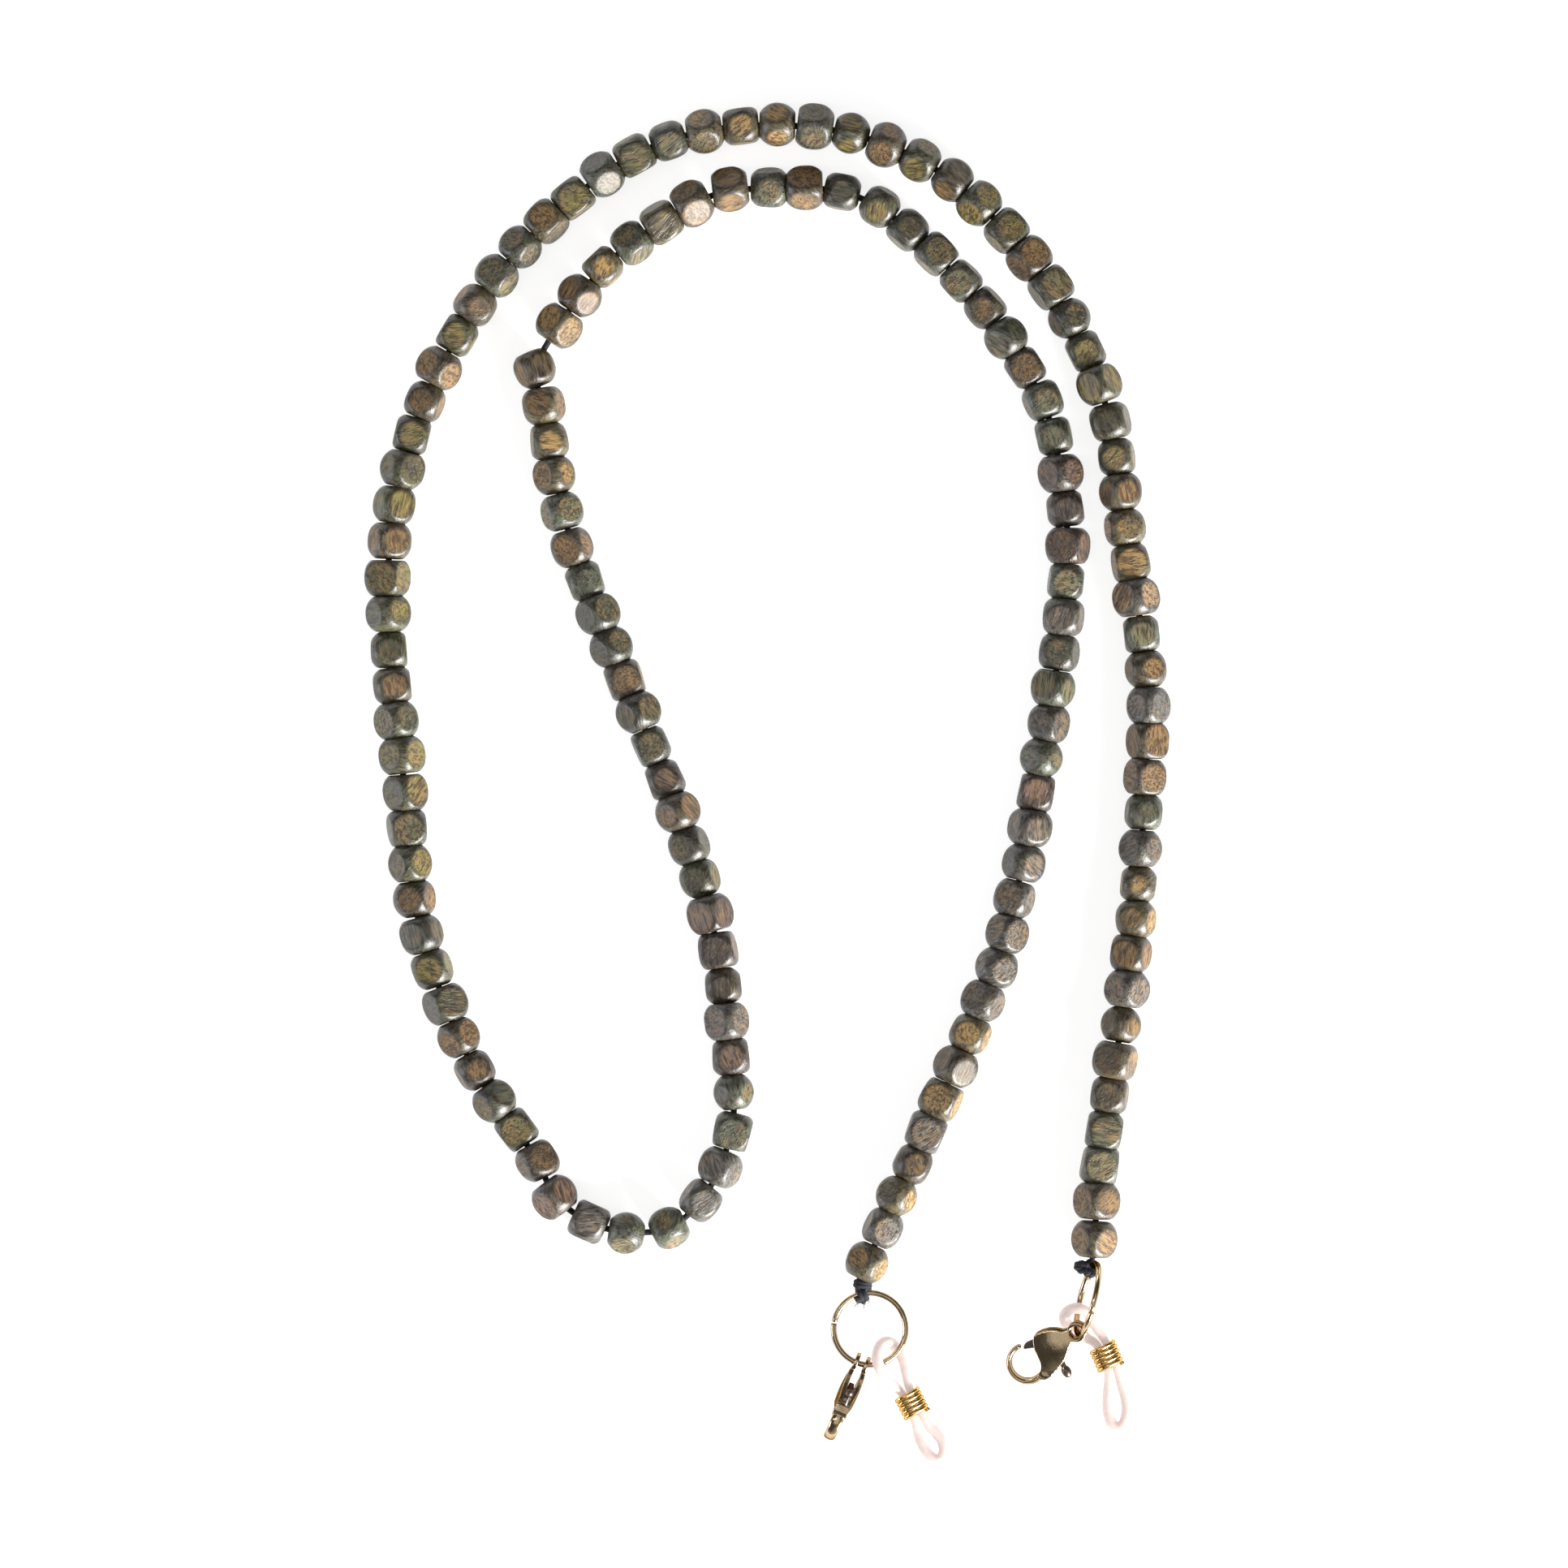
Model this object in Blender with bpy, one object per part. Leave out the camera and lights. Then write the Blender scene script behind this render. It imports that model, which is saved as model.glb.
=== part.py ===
"""Beaded eyeglass chain, lying flat: 144 wooden dice beads on a cord, and at each end a knot,
a jump ring, a lobster clasp and a silicone temple loop with a sliding wire coil.
Units are metres, +Z is up, and the chain lies on the plane z = 0."""
import math
import random

import bmesh
import bpy
import numpy as np
from mathutils import Matrix, Vector

MM = 0.001

# Beads and cord
BEADS = 144
RUN = 6                      # beads in one run, which is one node
MIDDLE_RUN = 12              # the run that the others hang from, one after another
BEAD_SIDE = 5.1 * MM         # across the strand
BEAD_LENGTH = 4.5 * MM       # along the strand
BEAD_CHAMFER = 0.5 * MM
SIDE_SPREAD = 0.04           # how much bead sizes vary
ROLLS = (0, 0, 12, 25, 38, 45, 52, 65, 78)  # degrees; a bead at 0 lies on a flat
INNER_SHARE = 2.0 * MM       # half width that makes beads spread on a bend
CORD_RADIUS = 0.5 * MM

# Jump rings
WIRE_RADIUS = 0.41 * MM
RING_RADIUS = 5.05 * MM      # to the middle of the wire
RING_SEAM = 2.5              # degrees left open at the cut
RING_SIDES = 30

# Lobster clasps
EYE_RADIUS = 1.35 * MM
EYE_HOLE = 0.95 * MM
CLASP_THICK = 2.4 * MM
HOOK_THICK = 1.5 * MM
SLOT = 1.1 * MM
LEVER_THICK = 0.7 * MM
RIVET = (3.85, 0.8)          # pivot, from the eye, along the clasp and across it
RIVET_RADIUS = 0.4 * MM
RIVET_HOLE = 0.53 * MM
KNOB = (4.1, -4.15)
KNOB_RADIUS = 0.7 * MM

# Silicone loops and their coils
TUBE_RADIUS = 0.775 * MM
LEG_SPACE = 0.66             # from the coil's middle to each leg, in millimetres
SQUEEZE = 0.78               # how far the coil squeezes the silicone
COIL_WIRE = 0.31 * MM
COIL_PITCH = 0.66 * MM
COIL_TURNS = 5
COIL_ACROSS = 1.67 * MM      # half width to the middle of the wire
COIL_DEEP = 1.08 * MM        # half height to the middle of the wire
COIL_STEPS = 12

# The strand's route from end A to end B, in millimetres
ROUTE = [
    (14.0, -66.9), (18.4, -57.2), (22.6, -47.8), (30.7, -29.3), (35.2, -14.0), (38.2, 2.0),
    (40.8, 18.0), (42.0, 30.5), (41.9, 37.5), (39.6, 51.2), (34.4, 61.2), (28.4, 69.2),
    (20.8, 76.8), (12.8, 82.4), (3.5, 83.5), (-6.6, 82.9), (-14.9, 78.6), (-22.9, 72.4),
    (-29.2, 64.2), (-32.4, 59.6), (-31.6, 55.2), (-28.0, 36.0), (-20.7, 16.8), (-13.3, -1.8),
    (-7.2, -21.2), (-4.7, -42.1), (-4.8, -48.4), (-8.3, -57.0), (-14.5, -62.4), (-23.0, -61.9),
    (-29.2, -58.3), (-33.3, -50.7), (-41.9, -38.0), (-48.9, -18.4), (-50.9, 1.8), (-53.0, 21.8),
    (-51.7, 42.0), (-44.4, 60.9), (-32.8, 77.0), (-15.6, 89.5), (5.0, 92.2), (23.2, 86.4),
    (37.9, 72.2), (47.0, 54.8), (50.3, 35.1), (53.1, 14.9), (52.6, -6.3), (50.6, -27.2),
    (47.2, -48.4), (45.8, -63.7),
]

# Where the fittings lie, in millimetres
RING_A_CENTRE = (14.4, -76.2, 2.75)
RING_B_CENTRE = (44.8, -71.85, 5.43)
RING_B_LONG = (-0.249, -0.968, 0.0)
RING_B_LEAN = 8.5            # degrees off upright
COIL_A = (20.35, -86.83, 1.42)
COIL_A_WAY = (0.447, -0.894)
UPPER_A = [
    (17.2, -83.7, 2.5), (16.05, -82.1, 3.85), (15.5, -80.75, 4.2), (15.5, -79.4, 3.95),
    (15.95, -78.4, 3.35), (16.8, -78.0, 2.65), (17.65, -78.35, 1.9), (18.4, -79.3, 1.3),
    (19.1, -80.6, 1.3), (19.55, -82.4, 1.35),
]
LOWER_A = [
    (22.9, -90.1, 0.95), (23.8, -91.0, 0.8), (24.6, -92.1, 0.8), (24.85, -93.4, 0.8),
    (24.45, -94.4, 0.8), (23.5, -94.6, 0.8), (22.5, -93.8, 0.8), (21.7, -92.3, 0.8),
    (21.2, -90.7, 0.9),
]
COIL_B = (47.65, -80.2, 1.42)
COIL_B_WAY = (0.392, -0.92)
UPPER_B = [
    (44.9, -77.6, 0.95), (43.5, -76.7, 0.8), (42.3, -75.9, 0.8), (41.7, -74.9, 0.95),
    (42.0, -73.95, 1.45), (42.9, -73.4, 2.0), (43.8, -73.35, 2.3), (44.7, -73.8, 2.25),
    (45.5, -74.8, 1.9), (46.2, -76.0, 1.55),
]
LOOP_B_PIVOT = (44.0, -74.6, 1.2)
LOWER_B = [
    (49.95, -84.6, 0.9), (50.35, -86.2, 0.8), (50.5, -87.9, 0.8),
    (50.1, -89.5, 0.8), (49.25, -90.15, 0.8), (48.4, -89.7, 0.8), (47.95, -88.4, 0.8),
    (47.8, -86.7, 0.8), (47.9, -84.8, 0.9),
]

COLOURS = {
    "wood": ((0.23, 0.20, 0.13), 0.42, 0.0),
    "cord": ((0.012, 0.012, 0.016), 0.8, 0.0),
    "antique_gold": ((0.62, 0.47, 0.30), 0.25, 1.0),
    "bright_gold": ((0.83, 0.58, 0.18), 0.2, 1.0),
    "steel": ((0.55, 0.52, 0.48), 0.35, 1.0),
    "silicone": ((0.93, 0.88, 0.88), 0.3, 0.0),
}


def clear_scene():
    for obj in list(bpy.data.objects):
        bpy.data.objects.remove(obj)


def collection(name):
    made = bpy.data.collections.new(name)
    bpy.context.scene.collection.children.link(made)
    return made


def material(obj, name):
    """Gives the object its own Principled material, in the finish of that name."""
    colour, roughness, metallic = COLOURS[name]
    made = bpy.data.materials.new(f"{obj.name}_{name}")
    made.use_nodes = True
    shader = made.node_tree.nodes["Principled BSDF"]
    shader.inputs["Base Color"].default_value = (*colour, 1.0)
    shader.inputs["Roughness"].default_value = roughness
    shader.inputs["Metallic"].default_value = metallic
    obj.data.materials.clear()
    obj.data.materials.append(made)


def mesh_object(name, bm, where, origin=(0, 0, 0)):
    """A mesh object whose origin is at origin, from a bmesh in world coordinates."""
    bmesh.ops.translate(bm, verts=bm.verts, vec=-Vector(origin))
    mesh = bpy.data.meshes.new(name)
    bm.to_mesh(mesh)
    bm.free()
    obj = bpy.data.objects.new(name, mesh)
    obj.location = origin
    where.objects.link(obj)
    return obj


def guide(obj):
    obj.hide_render = True
    obj.display_type = "WIRE"
    return obj


def boolean(obj, other, operation):
    modifier = obj.modifiers.new(f"{operation.lower()}_{other.name}", "BOOLEAN")
    modifier.operation = operation
    modifier.object = other


def tube(name, points, radius, where, resolution=2, cyclic=False, shares=None):
    """A round wire along the points, as a mesh object with its caps welded on. The shares say how
    much of the radius each point has."""
    curve = bpy.data.curves.new(name, "CURVE")
    curve.dimensions = "3D"
    curve.bevel_depth = radius
    curve.bevel_resolution = resolution
    curve.use_fill_caps = not cyclic
    spline = curve.splines.new("POLY")
    spline.points.add(len(points) - 1)
    for made, point, share in zip(spline.points, points, shares or [1.0] * len(points)):
        made.co = (*point, 1.0)
        made.radius = share
    spline.use_cyclic_u = cyclic
    obj = bpy.data.objects.new(f"{name}_wire", curve)
    bpy.context.scene.collection.objects.link(obj)
    graph = bpy.context.evaluated_depsgraph_get()
    mesh = bpy.data.meshes.new_from_object(obj.evaluated_get(graph))
    bpy.data.objects.remove(obj)
    bm = bmesh.new()
    bm.from_mesh(mesh)
    bpy.data.meshes.remove(mesh)
    bmesh.ops.remove_doubles(bm, verts=bm.verts, dist=1e-6)
    return mesh_object(name, bm, where)


def smooth_points(points, steps, cyclic=False):
    """Points along a Catmull-Rom curve through the given ones."""
    points = [Vector(p) for p in points]
    count = len(points)
    if cyclic:
        ring = [points[(i - 1) % count] for i in range(count + 3)]
    else:
        ring = [2 * points[0] - points[1]] + points + [2 * points[-1] - points[-2]]
    made = []
    for before, start, end, after in zip(ring, ring[1:], ring[2:], ring[3:]):
        for step in range(steps):
            t = step / steps
            bend = 2 * before - 5 * start + 4 * end - after
            twist = 3 * start - before - 3 * end + after
            made.append(0.5 * (2 * start + (end - before) * t + bend * t * t + twist * t**3))
    return made if cyclic else made + [points[-1]]


def bead_places():
    """The middle and the heading of every bead on the ground plan: beads lie an equal way apart on
    a straight stretch, and further apart on a bend, where their inner corners meet."""
    fine = np.array([(p.x, p.y) for p in smooth_points([(x, y, 0) for x, y in ROUTE], 40)]) * MM
    steps = np.diff(fine, axis=0)
    lengths = np.linalg.norm(steps, axis=1)
    headings = np.unwrap(np.arctan2(steps[:, 1], steps[:, 0]))
    turn = np.abs(np.gradient(headings))
    share = np.convolve(lengths - INNER_SHARE * turn, np.ones(9) / 9, "same")
    along = np.concatenate([[0.0], np.cumsum(share)])
    at = np.linspace(0, along[-1], BEADS)
    x, y = (np.interp(at, along, fine[:, axis]) for axis in (0, 1))
    middles = along[:-1] + np.diff(along) / 2
    return [(px, py, way) for px, py, way in zip(x, y, np.interp(at, middles, headings))]


def bead_sizes():
    """Roll about the strand and cross size of every bead, the same on each run."""
    chance = random.Random(144)
    made = []
    for _ in range(BEADS):
        roll = chance.choice(ROLLS)
        wobble = chance.uniform(-4, 4) if roll else 0.0
        side = BEAD_SIDE * (1 + chance.uniform(-1, 1) * SIDE_SPREAD)
        made.append((math.radians(roll + wobble), side))
    return made


def half_height(roll, side):
    """How far a chamfered square reaches below its middle when it is rolled."""
    half, cut = side / 2, side / 2 - BEAD_CHAMFER
    turned = roll % (math.pi / 2)
    corners = ((half, cut), (cut, half))
    return max(x * math.sin(turned) + y * math.cos(turned) for x, y in corners)


def add_bead(bm, middle, way, roll, side):
    made = bmesh.ops.create_cube(bm, size=1.0)["verts"]
    matrix = Matrix.Translation(middle) @ Matrix.Rotation(way, 4, "Z")
    matrix = matrix @ Matrix.Rotation(roll, 4, "X") @ Matrix.Diagonal((BEAD_LENGTH, side, side, 1))
    bmesh.ops.transform(bm, matrix=matrix, verts=made)
    edges = list({edge for vert in made for edge in vert.link_edges})
    bmesh.ops.bevel(bm, geom=edges, offset=BEAD_CHAMFER, segments=1, affect="EDGES", profile=0.5)


def run_pivot(middles, number):
    """Where a run bends from its neighbour: in the gap on the side of the middle run."""
    first = (number - 1) * RUN
    if number == MIDDLE_RUN:
        return (middles[first] + middles[first + RUN - 1]) / 2
    gap = first + RUN if number < MIDDLE_RUN else first
    return (middles[gap - 1] + middles[gap]) / 2


def strand_runs(parts, cutters):
    """Each run is its stretch of cord joined to the six beads that are tight on it."""
    places, sizes = bead_places(), bead_sizes()
    middles = [Vector((x, y, half_height(*size))) for (x, y, _), size in zip(places, sizes)]
    for first in range(0, BEADS, RUN):
        number = first // RUN + 1
        name = f"bead_run_{number:02d}"
        bm = bmesh.new()
        for i in range(first, first + RUN):
            add_bead(bm, middles[i], places[i][2], *sizes[i])
        beads = guide(mesh_object(f"{name}_beads", bm, cutters))
        core = tube(name, middles[first:first + RUN], CORD_RADIUS, parts, resolution=0)
        move_origin(core, run_pivot(middles, number))
        boolean(core, beads, "UNION")
        material(core, "wood")


def unit(x, y, z=0.0):
    return Vector((x, y, z)).normalized()


def frame_of(origin, along, up):
    """A matrix whose X runs along, whose Z is the part of up square to it, at origin in millimetres."""
    along = along.normalized()
    up = (up - along * up.dot(along)).normalized()
    across = up.cross(along)
    turn = Matrix((along, across, up)).transposed().to_4x4()
    return Matrix.Translation(Vector(origin) * MM) @ turn


def ring_frame_a():
    return frame_of(RING_A_CENTRE, Vector((1, 0, 0)), Vector((0, 0, 1)))


def ring_frame_b():
    """X along the long horizontal axis, Y in the ring's plane pointing up."""
    long = unit(*RING_B_LONG)
    side = Vector((-long.y, long.x, 0))
    lean = math.radians(RING_B_LEAN)
    up = Vector((0, 0, 1)) * math.cos(lean) + side * math.sin(lean)
    return frame_of(RING_B_CENTRE, long, long.cross(up))


def ring_place(matrix, degrees):
    """The wire's middle and its direction at an angle round the ring."""
    angle = math.radians(degrees)
    point = matrix @ Vector((RING_RADIUS * math.cos(angle), RING_RADIUS * math.sin(angle), 0))
    way = matrix.to_3x3() @ Vector((-math.sin(angle), math.cos(angle), 0))
    return point, way


def jump_ring(name, matrix, cut_at, pivot, parts):
    start = cut_at + RING_SEAM / 2
    turn = 360 - RING_SEAM
    places = [ring_place(matrix, start + turn * i / RING_SIDES)[0] for i in range(RING_SIDES + 1)]
    ring = tube(name, places, WIRE_RADIUS, parts)
    material(ring, "antique_gold")
    move_origin(ring, pivot)


def ellipsoid(bm, matrix, radii):
    made = bmesh.ops.create_uvsphere(bm, u_segments=12, v_segments=8, radius=1.0)["verts"]
    bmesh.ops.transform(bm, matrix=matrix @ Matrix.Diagonal((*radii, 1)), verts=made)


def cord_knot(name, wrap_at, wrap_way, ball_at, ball_way, ball_radii, parts, cutters):
    """A ball of knotted cord, joined to the turn of cord that goes round the ring's wire."""
    side = wrap_way.orthogonal().normalized()
    other = wrap_way.normalized().cross(side)
    places = []
    for i in range(14):
        angle = 2 * math.pi * i / 14
        places.append(wrap_at + 0.96 * MM * (side * math.cos(angle) + other * math.sin(angle)))
    wrap = guide(tube(f"{name}_wrap", places, 0.42 * MM, cutters, cyclic=True))
    bm = bmesh.new()
    ellipsoid(bm, frame_of(ball_at, ball_way, Vector((0, 0, 1))), ball_radii)
    knot = mesh_object(name, bm, parts)
    boolean(knot, wrap, "UNION")
    material(knot, "cord")


def flat_plate(name, outline, thickness, matrix, where):
    """A plate of the given outline (millimetres), centred on the matrix's XY plane."""
    curve = bpy.data.curves.new(name, "CURVE")
    curve.dimensions = "2D"
    curve.fill_mode = "BOTH"
    curve.extrude = thickness / 2
    spline = curve.splines.new("POLY")
    spline.points.add(len(outline) - 1)
    for made, (x, y) in zip(spline.points, outline):
        made.co = (x * MM, y * MM, 0, 1)
    spline.use_cyclic_u = True
    obj = bpy.data.objects.new(f"{name}_outline", curve)
    bpy.context.scene.collection.objects.link(obj)
    graph = bpy.context.evaluated_depsgraph_get()
    mesh = bpy.data.meshes.new_from_object(obj.evaluated_get(graph))
    bpy.data.objects.remove(obj)
    bm = bmesh.new()
    bm.from_mesh(mesh)
    bpy.data.meshes.remove(mesh)
    bmesh.ops.remove_doubles(bm, verts=bm.verts, dist=1e-7)
    bmesh.ops.recalc_face_normals(bm, faces=bm.faces)
    bmesh.ops.transform(bm, matrix=matrix, verts=bm.verts)
    return mesh_object(name, bm, where)


def round_bar(name, x, y, radius, length, matrix, where, segments=16):
    bm = bmesh.new()
    bmesh.ops.create_cone(bm, cap_ends=True, segments=segments, radius1=radius, radius2=radius,
                          depth=length, matrix=matrix @ Matrix.Translation((x * MM, y * MM, 0)))
    return mesh_object(name, bm, where)


def box(name, low, high, matrix, where):
    """A box between two corners in millimetres."""
    bm = bmesh.new()
    size = [(b - a) * MM for a, b in zip(low, high)]
    middle = [(a + b) / 2 * MM for a, b in zip(low, high)]
    bmesh.ops.create_cube(bm, size=1.0, matrix=matrix @ Matrix.Translation(middle)
                          @ Matrix.Diagonal((*size, 1)))
    return mesh_object(name, bm, where)


def arc(middle, radius, start, end, count):
    """Outline points (millimetres) on an arc between two angles in degrees."""
    angles = [math.radians(start + (end - start) * i / (count - 1)) for i in range(count)]
    return [(middle[0] + radius * math.cos(a), middle[1] + radius * math.sin(a)) for a in angles]


def clasp_outline():
    """Body and hook seen face on: the eye is at the origin and the hook's end at +X."""
    eye = arc((0, 0), EYE_RADIUS / MM, -38, -318, 13)
    back = [(1.7, 1.0), (3.2, 2.05), (4.5, 2.35), (5.7, 2.15)]
    front = [(6.3, 0.85), (6.4, -0.3), (6.55, -1.6), (6.9, -2.4)]
    inner = arc((8.55, -0.85), 2.15, -132, 96, 12)
    outer = arc((8.35, -0.85), 3.05, 88, -116, 15)
    belly = [(6.05, -3.75), (4.9, -3.45), (3.15, -2.6), (1.9, -1.4)]
    return eye + back + front + inner + outer + belly


def lever_outline():
    """Nose arm and thumb arm of the lever, which meet at the rivet."""
    nose = [(4.3, 1.6), (6.0, 1.72), (7.35, 1.75), (7.85, 1.2), (7.3, 0.95), (6.1, 0.55), (4.9, 0.2)]
    arm = [(4.55, -0.6), (4.5, -2.2), (4.55, -3.3)]
    knob = arc(KNOB, KNOB_RADIUS / MM, 45, -225, 11)
    back = [(3.55, -3.3), (3.4, -2.0), (3.1, -0.2), (3.0, 0.9), (3.4, 1.5)]
    return nose + arm + knob + back


def spring_outline():
    """A leaf spring bent to a V, which sits inside the body below the lever's nose arm."""
    return [(5.1, -2.6), (5.2, -1.2), (5.95, -0.9), (5.95, -1.15), (5.42, -1.4), (5.35, -2.6)]


def lobster_clasp(name, matrix, parts, cutters):
    body = flat_plate(f"{name}_body", clasp_outline(), CLASP_THICK, matrix, parts)
    slot = guide(box(f"{name}_slot", (-2, -4.5, -SLOT / 2 / MM), (6.55, 3, SLOT / 2 / MM), matrix, cutters))
    eye = guide(round_bar(f"{name}_eye", 0, 0, EYE_HOLE, 4 * MM, matrix, cutters))
    bore = guide(round_bar(f"{name}_bore", *RIVET, RIVET_HOLE, 4 * MM, matrix, cutters, 12))
    thin = (CLASP_THICK - HOOK_THICK) / 2 / MM
    half = CLASP_THICK / 2 / MM
    for number, (low, high) in enumerate(((half - thin, half + 1), (-half - 1, thin - half))):
        cut = guide(box(f"{name}_thin_{number}", (7.9, -6, low), (13, 4, high), matrix, cutters))
        boolean(body, cut, "DIFFERENCE")
    for cutter in (slot, eye, bore):
        boolean(body, cutter, "DIFFERENCE")
    material(body, "antique_gold")

    lever = flat_plate(f"{name}_lever", lever_outline(), LEVER_THICK, matrix, parts)
    boolean(lever, bore, "DIFFERENCE")
    material(lever, "antique_gold")
    rivet = round_bar(f"{name}_rivet", *RIVET, RIVET_RADIUS, CLASP_THICK + 0.2 * MM, matrix, parts, 12)
    material(rivet, "antique_gold")
    spring = flat_plate(f"{name}_spring", spring_outline(), 0.7 * MM, matrix, parts)
    material(spring, "steel")
    pivot = matrix @ Vector((RIVET[0] * MM, RIVET[1] * MM, 0))
    move_origin(lever, pivot)
    move_origin(body, matrix.translation)


def move_origin(obj, point):
    """Moves the object's origin to its joint's axis, and leaves its shape where it is."""
    shift = Vector(point) - obj.location
    obj.data.transform(Matrix.Translation(-shift))
    obj.location = point


def temple_loop(name, upper, lower, coil_at, coil_way, pivot, parts):
    """One closed band of silicone: round the jump ring, through the coil and round the temple."""
    middle, way = Vector(coil_at), unit(*coil_way)
    side = Vector((-way.y, way.x, 0)) * LEG_SPACE
    half = COIL_PITCH / MM * COIL_TURNS / 2 + 0.5
    right = [middle + side + way * along for along in (-half, 0, half)]
    left = [middle - side + way * along for along in (half, 0, -half)]
    route = smooth_points([*upper, *right, *lower, *left], 2, cyclic=True)
    beyond = [max(0.0, abs((point - middle).dot(way)) - half) for point in route]
    shares = [min(1.0, SQUEEZE + (1 - SQUEEZE) * reach / 1.6) for reach in beyond]
    loop = tube(name, [p * MM for p in route], TUBE_RADIUS, parts, cyclic=True, shares=shares)
    material(loop, "silicone")
    move_origin(loop, pivot)


def wire_coil(name, middle, way, parts):
    """Close turns of gold wire on an oval that holds the loop's two legs side by side."""
    matrix = frame_of(middle, unit(*way), Vector((0, 0, 1)))
    places = []
    for i in range(COIL_TURNS * COIL_STEPS + 1):
        angle = 2 * math.pi * i / COIL_STEPS
        along = COIL_PITCH * (i / COIL_STEPS - COIL_TURNS / 2)
        places.append(matrix @ Vector((along, COIL_ACROSS * math.cos(angle), COIL_DEEP * math.sin(angle))))
    coil = tube(name, places, COIL_WIRE, parts, resolution=1)
    material(coil, "bright_gold")
    move_origin(coil, matrix.translation)


def clasp_frame_a():
    """Clasp A stands on its back edge, with the thumb knob up."""
    eye = Vector(RING_A_CENTRE) + RING_RADIUS / MM * unit(-0.243, -0.970)
    along = unit(-0.405, -0.914)
    return frame_of(eye, along, Vector((0.914, -0.405, 0)))


def clasp_frame_b():
    """Clasp B lies on its side, its eye lifted by the standing ring, with the knob towards -Y."""
    eye = ring_place(ring_frame_b(), -18)[0] / MM
    along = unit(-0.86, -0.45, -0.235)
    down = -Vector((0, 0, 1)) - 0.07 * unit(0.46, -0.88)
    return frame_of(eye, along, down)


def main():
    clear_scene()
    parts = collection("eyeglass_chain")
    cutters = collection("cutters")
    strand_runs(parts, cutters)

    frame_a, frame_b = ring_frame_a(), ring_frame_b()
    wrap_a, wrap_a_way = ring_place(frame_a, 104)
    wrap_b, wrap_b_way = ring_place(frame_b, 215)
    jump_ring("ring_a", frame_a, 170, wrap_a, parts)
    jump_ring("ring_b", frame_b, 75, frame_b.translation, parts)

    cord_knot("knot_a", wrap_a, wrap_a_way, (13.42, -69.98, 2.7), unit(0.18, 1.0),
              (0.66 * MM, 1.35 * MM, 1.2 * MM), parts, cutters)
    cord_knot("knot_b", wrap_b, wrap_b_way, (44.0, -67.5, 2.3), unit(0.2, 1.0),
              (0.95 * MM, 0.95 * MM, 0.95 * MM), parts, cutters)

    lobster_clasp("clasp_a", clasp_frame_a(), parts, cutters)
    lobster_clasp("clasp_b", clasp_frame_b(), parts, cutters)
    temple_loop("temple_loop_a", UPPER_A, LOWER_A, COIL_A, COIL_A_WAY,
                ring_place(frame_a, -58)[0], parts)
    temple_loop("temple_loop_b", UPPER_B, LOWER_B, COIL_B, COIL_B_WAY,
                Vector(LOOP_B_PIVOT) * MM, parts)
    wire_coil("coil_a", COIL_A, COIL_A_WAY, parts)
    wire_coil("coil_b", COIL_B, COIL_B_WAY, parts)


main()
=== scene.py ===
"""The looks of a beaded eyeglass chain, lying flat: 144 wooden dice beads on a black cord, and at each
end a knot, a jump ring, a lobster clasp and a silicone temple loop in a sliding wire coil.
Everything is in metres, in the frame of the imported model. Lists of places are in millimetres."""

import math
import random

import bmesh
import bpy
import numpy as np
from mathutils import Matrix, Vector


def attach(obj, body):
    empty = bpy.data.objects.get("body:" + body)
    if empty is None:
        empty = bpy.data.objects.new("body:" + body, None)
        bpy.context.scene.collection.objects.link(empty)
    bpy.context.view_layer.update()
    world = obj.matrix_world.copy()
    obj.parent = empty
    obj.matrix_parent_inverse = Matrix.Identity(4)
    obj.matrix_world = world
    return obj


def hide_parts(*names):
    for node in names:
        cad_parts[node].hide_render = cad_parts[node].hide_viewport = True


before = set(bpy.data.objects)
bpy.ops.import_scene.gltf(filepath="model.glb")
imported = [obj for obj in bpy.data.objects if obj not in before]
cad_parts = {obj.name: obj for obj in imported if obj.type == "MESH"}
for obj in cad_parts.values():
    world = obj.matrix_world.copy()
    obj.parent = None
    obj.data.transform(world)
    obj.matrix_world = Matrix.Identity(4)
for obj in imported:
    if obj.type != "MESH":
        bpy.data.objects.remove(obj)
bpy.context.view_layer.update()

MM = 0.001

# Beads and cord, as in the part
BEADS = 144
RUN = 6
RUNS = BEADS // RUN
BEAD_SIDE = 5.1
SIDE_SPREAD = 0.04
ROLLS = (0, 0, 12, 25, 38, 45, 52, 65, 78)
INNER_SHARE = 2.0 * MM
CORD_RADIUS = 0.45           # of the cord inside the beads

# How a bead is turned and drilled
BEAD_LENGTH = 5.07
BALL_SHARE = 1.185           # how far out the tumbled shoulders reach, in half sides
EDGE_SHARPNESS = 55
FACE_TILT = 0.045            # how far out of true the sides and the ends are sawn
END_TILT = 0.012
FACE_SPREAD = 0.022
FACE_WEAR = (0.35, 0.65, 0.85, 1.0, 1.0, 1.0)   # how far the dye may be rubbed off a flat
NET = 18                     # faces along each side of a bead
HOLE_RADIUS = 0.62
RUN_SQUEEZE = 0.03           # how much closer the beads of one run sit, which leaves it room to bend

# Rings
WIRE_RADIUS = 0.41
RING_RADIUS = 5.05
RING_SEAM = 2.5              # degrees of wire that the cut leaves out

# Clasps
EYE_RADIUS = 1.35
EYE_HOLE = 0.95
CLASP_THICK = 2.4
EAR_THICK = 0.66
LEVER_THICK = 0.74
RIVET = (3.85, 0.8)
RIVET_RADIUS = 0.4
KNOB = (4.1, -4.4)
KNOB_RADII = (0.665, 0.945, 0.665)
HOOK_MIDDLE = (8.45, -0.85)
HOOK_RADIUS = 2.6
HOOK_ROOT, HOOK_TIP = 0.52, 0.33     # half widths of the hook at its two ends

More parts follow.
